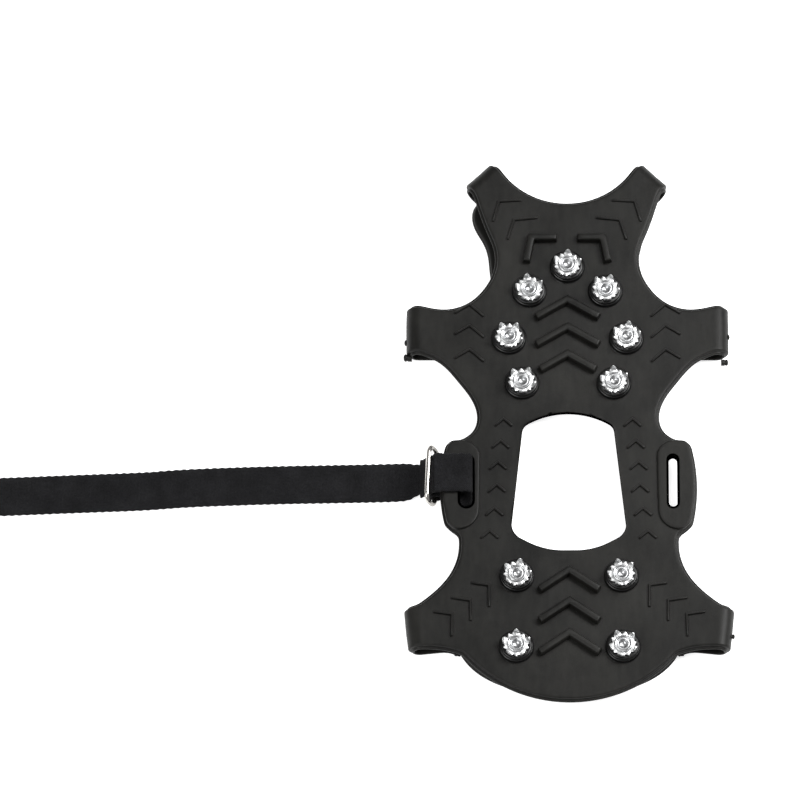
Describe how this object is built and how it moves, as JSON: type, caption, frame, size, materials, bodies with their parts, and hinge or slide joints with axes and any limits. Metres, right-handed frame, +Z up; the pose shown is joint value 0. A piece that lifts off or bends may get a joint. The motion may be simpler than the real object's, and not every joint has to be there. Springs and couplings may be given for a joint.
{
  "type": "ice cleat overshoe",
  "caption": "Rubber ice cleat overshoe lying sole up, with riveted star studs, rolled-over arms, a collar band, slotted ears, and an instep strap hitched to one ear by a wire ring.",
  "frame": {"origin": "on the overshoe's middle line, 2 mm to the heel from the middle of its box without the free strap, on the surface that the folded-under collar lies on", "axes": "+Z up, out of the tread, which faces up; +Y to the toe; +X to the side without the strap"},
  "size_m": [0.3655, 0.2244, 0.0154],
  "materials": {
    "rubber": "moulded, satin",
    "star_steel": "bright zinc plate",
    "rivet_steel": "zinc plate",
    "ring_wire": "nickel plate",
    "webbing": "brushed loop webbing",
    "hook_tape": "moulded hooks",
    "thread": "bonded thread"
  },
  "bodies": {
    "overshoe": {"backing_washer_01": "rivet_steel", "backing_washer_02": "rivet_steel", "backing_washer_03": "rivet_steel", "backing_washer_04": "rivet_steel", "backing_washer_05": "rivet_steel", "backing_washer_06": "rivet_steel", "backing_washer_07": "rivet_steel", "backing_washer_08": "rivet_steel", "backing_washer_09": "rivet_steel", "backing_washer_10": "rivet_steel", "backing_washer_11": "rivet_steel", "bar_tacks": "thread", "collar_band": "rubber", "heel_arm_left": "rubber", "heel_arm_right": "rubber", "mid_arm_left": "rubber", "mid_arm_right": "rubber", "rivet_01": "rivet_steel", "rivet_02": "rivet_steel", "rivet_03": "rivet_steel", "rivet_04": "rivet_steel", "rivet_05": "rivet_steel", "rivet_06": "rivet_steel", "rivet_07": "rivet_steel", "rivet_08": "rivet_steel", "rivet_09": "rivet_steel", "rivet_10": "rivet_steel", "rivet_11": "rivet_steel", "sole_plate": "rubber", "star_washer_01": "star_steel", "star_washer_02": "star_steel", "star_washer_03": "star_steel", "star_washer_04": "star_steel", "star_washer_05": "star_steel", "star_washer_06": "star_steel", "star_washer_07": "star_steel", "star_washer_08": "star_steel", "star_washer_09": "star_steel", "star_washer_10": "star_steel", "star_washer_11": "star_steel", "strap_hitch": "webbing", "toe_arm_left": "rubber", "toe_arm_right": "rubber"},
    "ring": {"strap_pass": "webbing", "strap_ring": "ring_wire"},
    "strap": {"hook_patch": "hook_tape", "strap": "webbing"}
  },
  "joints": [
    {"name": "ring_swing", "type": "hinge", "parent": "overshoe", "child": "ring", "pos_m": [-0.0509, -0.0174, 0.00455], "axis": [0.0523, 0.9986, 0], "range_deg": [-12, 3]},
    {"name": "strap_lift", "type": "hinge", "parent": "ring", "child": "strap", "pos_m": [-0.0552, -0.0174, 0.00607], "axis": [0, 1, 0], "range_deg": [-55, 80]}
  ]
}
